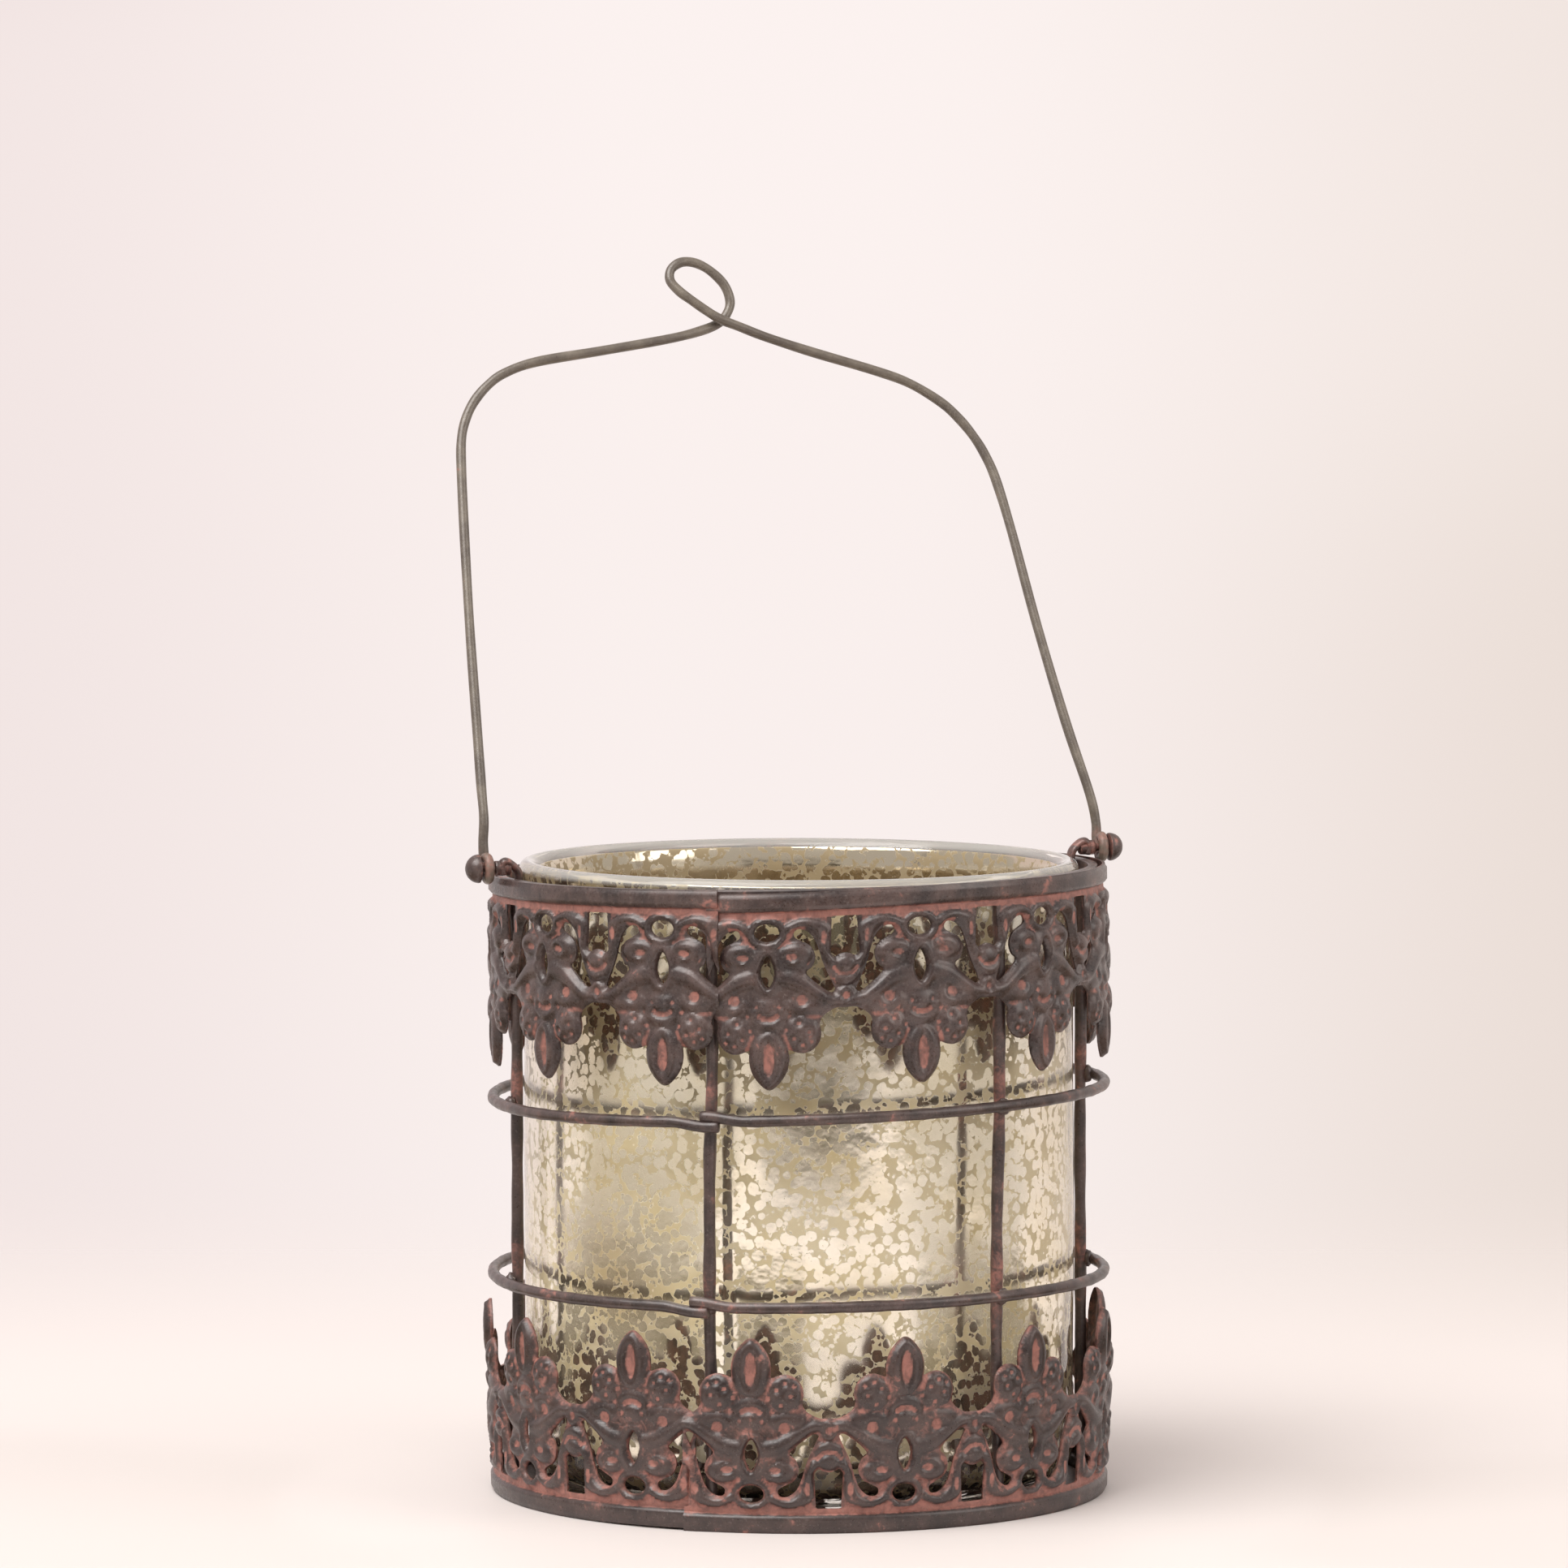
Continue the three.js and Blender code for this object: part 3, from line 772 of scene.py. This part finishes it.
def upright(node, seed):
    """A vertical wire, slightly bowed, with the undercoat showing just above the hoops."""
    low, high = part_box(node)
    bottom, top = low[2] / MM, high[2] / MM
    middle, out, along = upright_axes(node)
    share = np.linspace(0, 1, 90)
    bow = 0.35 * np.sin(share * math.pi * 2 + seed) * np.sin(share * math.pi)
    dent = 0.12 * np.sin(share * 23 + seed * 2)
    rise = bottom + share * (top - bottom)
    path = middle + rise[:, None] * np.array([0, 0, 1])
    path = path + (bow + dent * 0.5)[:, None] * along - 0.12 * np.sin(share * math.pi)[:, None] * out
    thickness = UPRIGHT_WIRE + 0.05 * np.sin(share * 31 + seed) + 0.03 * np.sin(share * 67)
    verts, faces = tube(path, thickness, round_ends=False)
    levels = [level_of(hoop_node) for hoop_node in HOOP_LEAN]
    above_hoops = sum(np.exp(-((verts[:, 2] - level - 3) / 5) ** 2) for level in levels)
    wear = 0.15 if node == WORN_UPRIGHT else 0
    recess = 0.16 + 0.42 * above_hoops + wear + 0.25 * soft_noise(verts, 8, seed)
    make_piece(node, verts, faces, wire_finish, "cage", [node], recess)


def hoop(node):
    """A wire bent round the uprights, with its two ends lapped and soldered at the front."""
    seam = HOOP_SEAM[node]
    lap = 1.6
    angles = np.linspace(seam - lap, seam + 360 + lap, 420)
    turn = np.radians(angles)
    inner = smoothstep(seam + 352, seam + 360, angles)
    outer = smoothstep(seam + 7, seam - 1, angles)
    radius = HOOP_CIRCLE + 0.16 * np.sin(3 * turn + 1) + 0.12 * np.sin(6 * turn)
    radius = radius + 0.2 * inner - 0.05 * outer
    drop = 0.75 * outer - 0.75 * inner + 0.2 * np.sin(2 * turn + 0.6)
    path = np.column_stack([radius * np.sin(turn), -radius * np.cos(turn), drop])
    thickness = HOOP_WIRE + 0.025 * np.sin(turn * 37) + 0.02 * np.sin(turn * 83)
    verts, faces = tube(path, thickness)
    lean = HOOP_LEAN[node]
    spin = np.array(Euler((0, math.radians(-lean), 0)).to_matrix())
    verts = verts @ spin.T + np.array([0, 0, level_of(node)])
    recess = 0.12 + 0.3 * soft_noise(verts, 11, lean + 2)
    make_piece(node, verts, faces, wire_finish, "cage", [node], recess)


def solder_lump(centre, axes, seed):
    """Points and faces of an uneven ball, whose rows of axes give its directions and size."""
    rows, sides = 10, 14
    verts, faces = [], []
    for i in range(rows + 1):
        polar = math.pi * i / rows
        for k in range(sides):
            turn = 2 * math.pi * k / sides
            level = math.sin(polar)
            way = np.array([level * math.cos(turn), level * math.sin(turn), math.cos(polar)])
            lump = 1 + 0.28 * noise.noise(Vector(way * 1.7) + Vector((seed, 0, 0)))
            verts.append(centre + lump * (way @ axes))
    for i in range(rows):
        for k in range(sides):
            n = (k + 1) % sides
            faces.append((i * sides + k, (i + 1) * sides + k, (i + 1) * sides + n, i * sides + n))
    return weld(verts, faces)


def solder_joints():
    """A small run of solder where each hoop crosses each upright."""
    lumps = []
    for node in UPRIGHTS:
        middle, out, along = upright_axes(node)
        axes = np.array([1.15 * along, 0.85 * out, (0, 0, 1.25)])
        for hoop_node, lean in HOOP_LEAN.items():
            height = level_of(hoop_node) + middle[0] * math.tan(math.radians(lean))
            centre = middle + np.array([0, 0, height]) + out * 0.95
            lumps.append(solder_lump(centre, axes, len(lumps) + 1))
    verts, faces = join(lumps)
    recess = 0.25 + 0.3 * soft_noise(verts, 3, 5)
    make_piece("solder_joints", verts, faces, wire_finish, "cage", [], recess, 60)


for number, node in enumerate(UPRIGHTS):
    upright(node, number + 1)
for node in HOOP_LEAN:
    hoop(node)
solder_joints()


def base_plate():
    """A sheet disc with a pressed bead that the glass stands on."""
    under = [(0, 0.0), (27.6, 0.0), (28.6, 0.2), (30, 0.3), (31.4, 0.2), (32.4, 0.0), (43.4, 0.0)]
    edge = smooth_path([(43.8, 0.15), (43.8, 0.85), (43.3, 1.0), (41, 1.0)], 4)
    step = [(40, 1.0), (39.3, 0.85)]
    bead = [(32, 0.7), (31, 0.95), (30, 1.0), (29, 0.95), (28, 0.7)]
    middle = [(10, 0.7), (0, 0.7)]
    verts, faces = lathe(np.vstack([under, edge, step, bead, middle]), 128)
    recess = 0.3 + 0.3 * soft_noise(verts, 12, 7)
    make_piece("base_plate", verts, faces, wire_finish, "cage", ["base_plate"], recess, 35)


base_plate()


# ---- Glass -------------------------------------------------------------------------------------

def uneven_glass(turn, height):
    """How far blown glass strays from round."""
    sway = 0.06 * np.sin(5 * turn + height * 0.05)
    return 0.1 * np.sin(2 * turn + 0.5) + sway + 0.04 * np.sin(height * 0.16 + turn)


def straight_wall(radius, heights):
    return [(radius, height) for height in heights]


def glass_jar():
    """The tumbler: a ring foot, a straight wall and a rolled lip."""
    outside = [
        (0, 2.2), (15, 2.1), (28, 2.0), (34, 1.7), (36.5, 1.3), (38.6, 1.45), (40.4, 2.7), (41.4, 4.8),
        (41.7, 8), (41.8, 20), (41.9, 36), (41.9, 52), (41.8, 68), (41.7, 82), (41.65, 88), (41.8, 91.2),
    ]
    lip = [
        (42.2, 92.8), (42.55, 94.1), (42.5, 95.1), (42.0, 95.75), (41.3, 96.0), (40.55, 95.7), (39.85, 94.9),
    ]
    inside = [(GLASS_INSIDE + 0.15, 93), (GLASS_INSIDE + 0.02, 89)]
    inside += straight_wall(GLASS_INSIDE, (70, 50, 30, 13))
    inside += [(38.9, 8.9), (37.8, 5.95), (35.9, 4.4), (33.3, 3.85), (20, 3.8), (0, 3.8)]
    profile = smooth_path(outside + lip + inside, 4)
    verts, faces = lathe(profile, ROUND_STEPS, wobble=uneven_glass)
    # The lip's points are marked for whiter, less clear glass: painted light.
    painted_pale_lip = smoothstep(94.3, 95.1, verts[:, 2])
    make_piece("glass_jar", verts, faces, glass_finish, "glass", ["glass_jar"], painted_pale_lip, 80)


def silver_lining():
    """The silvering, up to the lip. Its inside face above the floor is duller."""
    outside = [(0, 3.7), (20, 3.7), (33.4, 3.7), (36.0, 4.2), (37.9, 5.8), (39.0, 8.8)]
    outside += straight_wall(SILVER_OUTSIDE, (13, 30, 50, 70, 89))
    rim = [(39.4, 92.6), (39.6, 94.0), (39.78, 94.6), (39.6, 94.7), (39.35, 94.0), (39.12, 92.6)]
    inside = straight_wall(SILVER_INSIDE, (89, 70, 50, 30))
    inside += [(38.98, 14), (38.8, 10.4), (38.0, 8.0), (36.7, 6.5), (34.6, 5.9), (20, 5.9), (0, 5.9)]
    profile = smooth_path(outside + rim + inside, 4)
    verts, faces = lathe(profile, ROUND_STEPS, wobble=uneven_glass)
    height = verts[:, 2]
    reach = np.hypot(verts[:, 0], verts[:, 1]) - 0.1 * np.clip(height - 89, 0, 6)
    dull = smoothstep(39.2, 39.1, reach) * (height > 12)
    node, slot = "silver_lining", "crackle_silver"
    make_piece(node, verts, faces, silver_finish, "glass", [node], dull, 80)


glass_jar()
silver_lining()


# ---- Handle, lugs and pins ---------------------------------------------------------------------
# The handle lies in its own plane: x along the pins, z up the legs, y out of the plane.

LEFT_SIDE = [
    (-48, 0.1, 8), (-47.9, 0, 13), (-47.6, 0, 22), (-47.1, 0, 37), (-46.4, 0, 52), (-45.7, 0, 64),
    (-45.2, 0, 69), (-44.3, 0, 72.2), (-42.7, 0, 75.2), (-40.3, 0, 77.9), (-37.3, 0, 80), (-32, 0, 81.8),
    (-21.7, 0, 83.4), (-11, 0.2, 85.2), (-5.6, 0.7, 86.6),
]
TOP_LOOP = [
    (-2.2, 1, 88), (-0.6, 0.9, 89.6), (0.1, 0.7, 91.6), (-0.6, 0.4, 94.2), (-2.6, 0.2, 96.5),
    (-4.9, 0, 97.8), (-7.2, -0.2, 97.9), (-9, -0.3, 96.7), (-9.4, -0.4, 94.8), (-8.2, -0.6, 92.9),
    (-6.4, -0.8, 91.2), (-4.4, -0.9, 89.5), (-2.2, -1, 87.9),
]
RIGHT_SIDE = [
    (0.6, -0.7, 86.8), (5, -0.2, 85.1), (12, 0, 82.6), (22, 0, 79.2), (27.2, 0, 77), (31.8, 0, 73.8),
    (34.4, 0, 71), (36.4, 0, 68), (37.9, 0, 64.8), (39.1, 0, 60.8), (40.5, 0, 52.7), (42.7, 0, 36.5),
    (45.3, 0, 20.4), (47.6, 0.1, 9),
]
PIN_START = 46.3
HEAD_HEIGHT = 2.15


def eye(side):
    """The bend round a pin at the foot of a leg."""
    points = [(side * EYE_OFFSET, 0.9, 4.6), (side * EYE_OFFSET, 1.55, 2)]
    for degrees in range(0, 286, 22):
        turn = math.radians(degrees)
        out = 0.25 * smoothstep(200, 286, degrees)
        y, z = EYE_CIRCLE * math.cos(turn), -EYE_CIRCLE * math.sin(turn)
        points.append((side * (EYE_OFFSET + out), y, z))
    return points


def placed(points, lean=0.0):
    """Takes points about the middle of the pins, x along the pins, into the cage's frame."""
    spin = TOP_TILT @ Matrix.Rotation(HANDLE_YAW, 3, "Z") @ Matrix.Rotation(-lean, 3, "X")
    middle = TILT_CENTRE + TOP_TILT @ Vector((0, 0, MOTIF_HEIGHT / 2 + PIVOT_ABOVE_TOP))
    return np.asarray(points) @ np.array(spin).T + np.array(middle)


def handle():
    """One wire from eye to eye, twisted into a hanging loop at the top."""
    route = eye(-1)[::-1] + LEFT_SIDE + TOP_LOOP + RIGHT_SIDE + eye(1)
    path = smooth_path(route, 7)
    share = np.linspace(0, 1, len(path))
    thickness = HANDLE_WIRE + 0.02 * np.sin(share * 140) + 0.015 * np.sin(share * 310)
    verts, faces = tube(path, thickness)
    recess = 0.12 + 0.3 * soft_noise(verts, 14, 9) + 0.6 * np.exp(-(verts[:, 2] / 4) ** 2)
    verts = placed(verts, HANDLE_LEAN)
    make_piece("handle", verts, faces, handle_finish, "handle", ["handle"], recess)


def ball_pin(node, side):
    """A pin through its lug and the handle's eye, with a domed head."""
    shoulder = EYE_OFFSET + HANDLE_WIRE + 0.3
    profile = [(0, PIN_START), (PIN_RADIUS, PIN_START), (PIN_RADIUS, shoulder)]
    profile += [(BALL_RADIUS * 0.8, shoulder), (BALL_RADIUS * 0.97, shoulder + 0.18)]
    for degrees in range(6, 90, 12):
        turn = math.radians(degrees)
        profile.append((BALL_RADIUS * math.cos(turn), shoulder + 0.2 + HEAD_HEIGHT * math.sin(turn)))
    profile.append((0, shoulder + 0.2 + HEAD_HEIGHT))
    verts, faces = lathe(profile, 40)
    verts = verts @ np.array(Matrix.Rotation(side * math.pi / 2, 3, "Y")).T
    in_head = np.abs(verts[:, :1]) > 49
    verts += 0.05 * soft_noise(verts, 1.5, 4)[:, None] * in_head
    recess = 0.15 + 0.35 * soft_noise(verts, 3, side + 5) + 0.5 * (np.abs(verts[:, 0]) < 49.6)
    make_piece(node, placed(verts), faces, wire_finish, "cage", [node], recess)


def lug(node, side):
    """A flattened wire bent over the top ring, and the collar that the pin passes through."""
    route = [
        (46.0, 0, -0.95), (46.15, 0, 0.1), (45.95, 0, 0.75), (45.45, 0, 0.95), (44.8, 0, 0.65),
        (43.95, 0, -0.1), (43.5, 0, -1.0), (43.4, 0, -2.8),
    ]
    points, strap_faces = tube(smooth_path(route, 6), 0.6)
    strap = (points * np.array([1, 2, 1]), strap_faces)
    collar = tube([(x, 0, 0) for x in np.linspace(44.9, 47.1, 9)], 1.1, 20)
    verts, faces = join([strap, collar])
    verts = verts + 0.08 * soft_noise(verts, 1.2, 2)[:, None]
    if side < 0:
        verts = verts * np.array([-1, -1, 1])
    recess = 0.58 + 0.3 * soft_noise(verts, 2, side + 8)
    make_piece(node, placed(verts), faces, wire_finish, "cage", [node], recess, 60)


handle()
for label, side in (("left", -1), ("right", 1)):
    ball_pin(f"{label}_pivot", side)
    lug(f"{label}_lug", side)


# ---- Studio ------------------------------------------------------------------------------------

def flat_mesh(name, verts, faces, material):
    """Part of the studio, in metres."""
    mesh = bpy.data.meshes.new(name)
    mesh.from_pydata(verts, [], faces)
    mesh.materials.append(material)
    obj = bpy.data.objects.new(name, mesh)
    bpy.context.scene.collection.objects.link(obj)
    return obj


def sector(start, end, near, far, height):
    """Corners of part of a level ring about the cage, between two angles from the front."""
    corners = []
    for reach, turns in ((near, (start, end)), (far, (end, start))):
        for degrees in np.linspace(*turns, 12):
            turn = math.radians(degrees)
            corners.append((reach * math.sin(turn), -reach * math.cos(turn), height))
    return corners


def floor():
    """A round pale table that fades into the backdrop behind the object."""
    steps = 96
    turns = [2 * math.pi * k / steps for k in range(steps)]
    rim = [(math.cos(turn), math.sin(turn), 0) for turn in turns]
    g = Graph("pale_table")
    g.shader.inputs["Roughness"].default_value = 0.6
    g.put(g.shader.inputs["Base Color"], g.mix(g.noise(3, 2), (0.735, 0.68, 0.66), (0.765, 0.705, 0.68)))
    _, y, _ = g.axes()
    g.see_through(g.remap(y, 0.05, 0.42), (1, 1, 1))
    flat_mesh("floor", rim, [tuple(range(steps))], g.material)


def backdrop_finish():
    """Pale pink glow standing in for a lit backdrop, as painted light, with painted shade that makes it
    greyer on the left and high up, warmer low on the right, a little darker low down and in soft folds.
    """
    g = Graph("pale_backdrop")
    x, _, z = g.axes()
    left = g.remap(x, -0.05, -0.36)
    right = g.remap(x, 0.02, 0.40)
    low = g.remap(z, 0.22, -0.06)
    high = g.remap(z, 0.24, 0.40)
    # Soft darker patches of painted shade, as of folds in the backdrop.
    painted_fold_shade = g.remap(g.noise(2.2, 2, 0.5), 0.35, 0.7)
    grey_share = g.math("MULTIPLY", left, g.remap(high, 0.0, 1.0, 0.55, 1.0))
    warm_share = g.math("MULTIPLY", right, g.remap(low, 0.0, 1.0, 0.6, 1.0))
    tone = g.mix(grey_share, (0.985, 0.905, 0.885), (0.82, 0.70, 0.69))
    tone = g.mix(warm_share, tone, (0.80, 0.70, 0.635))
    tone = g.mix(g.math("MULTIPLY", low, 0.25), tone, (0.86, 0.77, 0.75))
    tone = g.mix(g.math("MULTIPLY", painted_fold_shade, 0.12), tone, (0.86, 0.75, 0.74))
    g.shader.inputs["Base Color"].default_value = (0, 0, 0, 1)
    g.shader.inputs["Specular IOR Level"].default_value = 0.0
    g.put(g.shader.inputs["Emission Color"], tone)
    g.shader.inputs["Emission Strength"].default_value = 1.0
    return g.material


def backdrop():
    """A curved wall far behind the table."""
    radius, steps = 2.2, 48
    verts = []
    for k in range(steps + 1):
        turn = math.pi * (0.15 + 0.7 * k / steps)
        x, y = radius * math.cos(turn), radius * math.sin(turn)
        verts += [(x, y, -1.0), (x, y, 2.2)]
    faces = [(2 * k, 2 * k + 1, 2 * k + 3, 2 * k + 2) for k in range(steps)]
    flat_mesh("backdrop", verts, faces, backdrop_finish())


def card(name, corners, tones):
    """A card beside or in front of the table, seen only in reflections."""
    g = Graph(name)
    g.shader.inputs["Roughness"].default_value = 1.0
    g.put(g.shader.inputs["Base Color"], g.mix(g.noise(4, 3), *tones))
    obj = flat_mesh(name, corners, [tuple(range(len(corners)))], g.material)
    obj.visible_camera = False
    obj.visible_shadow = False
    obj.visible_diffuse = False


def level_card(name, corners, height, tones):
    card(name, [(x, y, height) for x, y in corners], tones)


OLIVE = ((0.022, 0.018, 0.009), (0.07, 0.055, 0.026))
SHADE = ((0.07, 0.055, 0.026), (0.17, 0.14, 0.08))
GREY = ((0.34, 0.31, 0.27), (0.48, 0.44, 0.39))
FAR_CORNERS = [(-0.6, -2.2), (0.9, -2.2)]
NEAR_EDGE = [(0.42, -0.56), (0.3, -0.49), (0.12, -0.455), (-0.04, -0.47), (-0.14, -0.53), (-0.2, -0.62)]
WALL = [(-0.6, -1.6, 0.0), (0.8, -1.6, 0.0), (0.8, -1.6, 0.3), (-0.6, -1.6, 0.3)]
LEFT_CORNERS = [(-1.2, -0.9), (-0.2, -0.62), (-0.2, 0.1), (-1.2, 0.1)]
RIGHT_CORNERS = [(0.34, -0.6), (1.2, -0.7), (1.2, 0.1), (0.34, 0.1)]
FOOT_SECTORS = [(-115, -38), (-26, 2), (48, 106)]


def cards():
    """What the silvering mirrors: a dark room in front, grey beside, and shade at the foot."""
    level_card("dark_floor", FAR_CORNERS + NEAR_EDGE, 0.004, OLIVE)
    card("dark_wall", WALL, OLIVE)
    level_card("left_floor", LEFT_CORNERS, 0.003, GREY)
    # The foot sectors are dark sheets of painted shade. They stand for the shade on the floor round the foot
    # and are seen only in the silvering.
    for number, (start, end) in enumerate(FOOT_SECTORS):
        card(f"foot_{number}", sector(start, end, 0.08, 0.26, 0.006), SHADE)
    level_card("right_floor", RIGHT_CORNERS, 0.004, GREY)


def lamp(name, place, target, size, power, colour):
    """A rectangular lamp aimed at a point."""
    light = bpy.data.lights.new(name, "AREA")
    light.shape = "RECTANGLE"
    light.size, light.size_y = size
    light.energy = power
    light.color = colour
    obj = bpy.data.objects.new(name, light)
    obj.location = place
    obj.rotation_euler = (Vector(target) - Vector(place)).to_track_quat("-Z", "Y").to_euler()
    bpy.context.scene.collection.objects.link(obj)


def world():
    """Soft light from all round."""
    surroundings = bpy.data.worlds.new("studio")
    bpy.context.scene.world = surroundings
    surroundings.use_nodes = True
    back = surroundings.node_tree.nodes["Background"]
    back.inputs["Color"].default_value = (0.90, 0.85, 0.82, 1)
    back.inputs["Strength"].default_value = 0.6


def camera():
    """A long lens level with the handle's loop, looking slightly down."""
    data = bpy.data.cameras.new("camera")
    data.sensor_width = 36
    data.lens = 184.5
    data.clip_start, data.clip_end = 0.05, 20
    obj = bpy.data.objects.new("camera", data)
    obj.location = (-0.0023, -1.218, 0.191)
    obj.rotation_euler = (math.radians(90 - 3.93), 0, 0)
    bpy.context.scene.collection.objects.link(obj)
    bpy.context.scene.camera = obj


floor()
backdrop()
cards()
world()
lamp("key", (-0.55, -0.55, 1.3), (0, -0.1, 0.05), (1.2, 1.2), 25, (1, 0.98, 0.96))
lamp("fill", (1.0, -0.4, 0.7), (0, 0, 0.06), (0.7, 0.9), 4, (1, 0.95, 0.9))
camera()
bpy.context.scene.view_settings.view_transform = "Standard"
